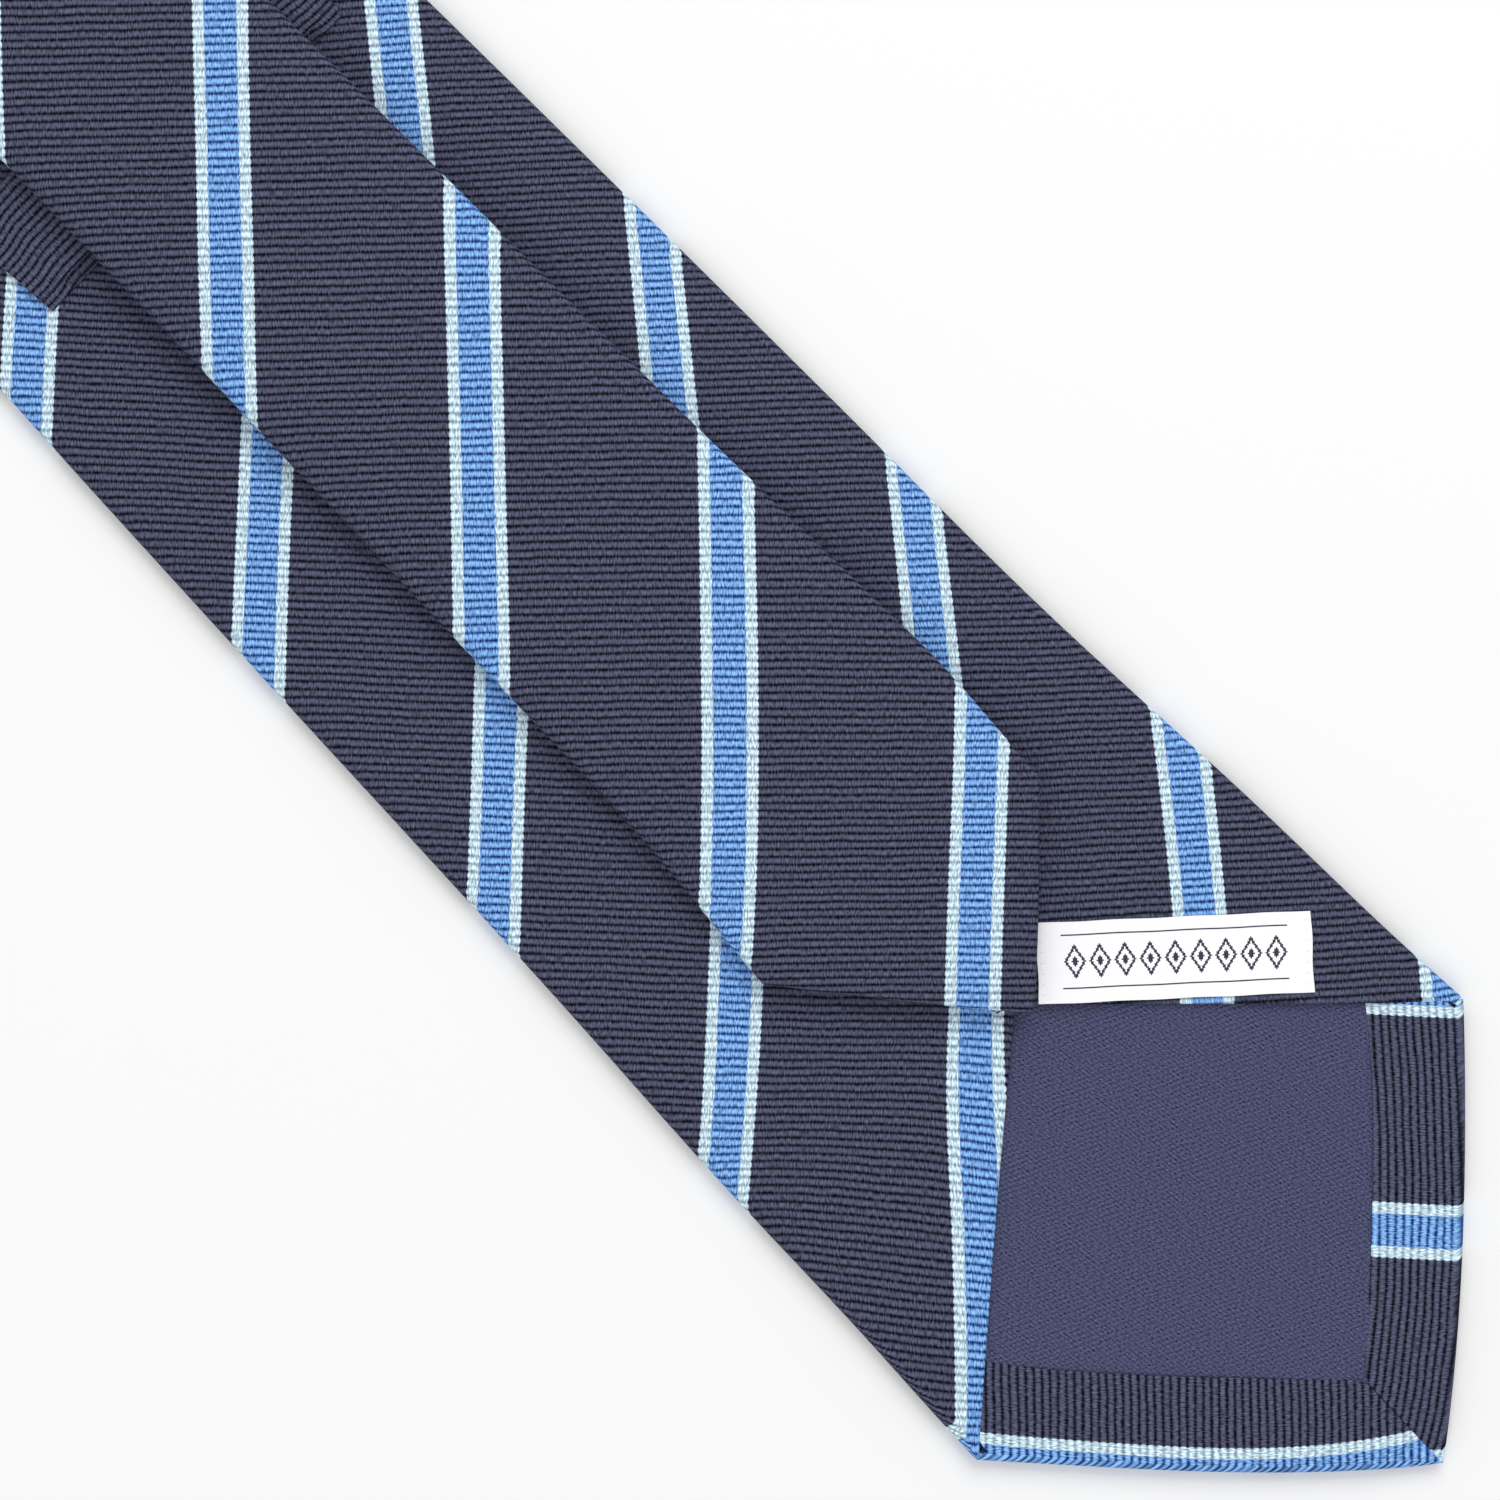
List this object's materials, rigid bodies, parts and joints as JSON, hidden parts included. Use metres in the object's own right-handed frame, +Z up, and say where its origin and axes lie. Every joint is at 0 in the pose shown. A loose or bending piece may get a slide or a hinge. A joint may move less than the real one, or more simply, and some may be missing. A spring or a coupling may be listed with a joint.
{
  "type": "necktie",
  "caption": "Striped silk necktie folded in half at the neck: wide blade with sewn back upwards, tail lying over it face up, keeper loop and plain label.",
  "frame": {"origin": "on the table under the middle of the folded tie's box", "axes": "+X along the tie towards the wide tip, +Y to the labelled side, +Z up out of the table, from the wide blade's striped face to its sewn back"},
  "size_m": [0.785, 0.0898, 0.012],
  "materials": {
    "striped_silk": "heavy ribbed navy silk with blue stripes edged in pale blue, cut on the bias, soft sheen",
    "keeper_silk": "the same ribbed navy silk, plain, with the ribs along the band",
    "tipping_satin": "fine slate violet lining twill with a satin sheen",
    "interlining_wool": "brushed natural wool interlining, matt",
    "woven_label": "fine off-white woven label tape with a plain tone-on-tone border",
    "label_thread": "off-white polyester sewing thread",
    "sewing_thread": "dark navy silk sewing thread"
  },
  "bodies": {
    "blade": {"blade_shell": "striped_silk", "neck_shell_blade_side": "striped_silk", "blade_seam_thread": "sewing_thread", "interlining_blade": "interlining_wool", "blade_tipping": "tipping_satin", "blade_slip_stitch": "sewing_thread", "blade_bar_tack": "sewing_thread", "keeper_loop": "keeper_silk", "keeper_stitch_left": "sewing_thread", "keeper_stitch_right": "sewing_thread", "name_label": "woven_label", "label_stitch_left": "label_thread", "label_stitch_right": "label_thread"},
    "neck_fold": {"neck_shell_fold": "striped_silk", "interlining_fold": "interlining_wool"},
    "tail": {"neck_shell_tail_side": "striped_silk", "tail_shell_rear": "striped_silk", "tail_seam_thread": "sewing_thread", "interlining_tail": "interlining_wool", "tail_slip_stitch": "sewing_thread"},
    "tail_end": {"tail_shell_front": "striped_silk", "interlining_tail_end": "interlining_wool", "tail_tipping": "tipping_satin", "tail_end_slip_stitch": "sewing_thread", "tail_bar_tack": "sewing_thread"}
  },
  "joints": [
    {"name": "neck_unfold", "type": "hinge", "parent": "blade", "child": "neck_fold", "pos_m": [-0.3898, 0, 0.0027], "axis": [0, -1, 0], "range_deg": [0, 90]},
    {"name": "neck_unfold_upper", "type": "hinge", "parent": "neck_fold", "child": "tail", "pos_m": [-0.3898, 0, 0.0093], "axis": [0, -1, 0], "range_deg": [0, 90]},
    {"name": "tail_lift", "type": "hinge", "parent": "tail", "child": "tail_end", "pos_m": [0.0495, 0, 0.0095], "axis": [0, 1, 0], "range_deg": [-60, 0]}
  ]
}
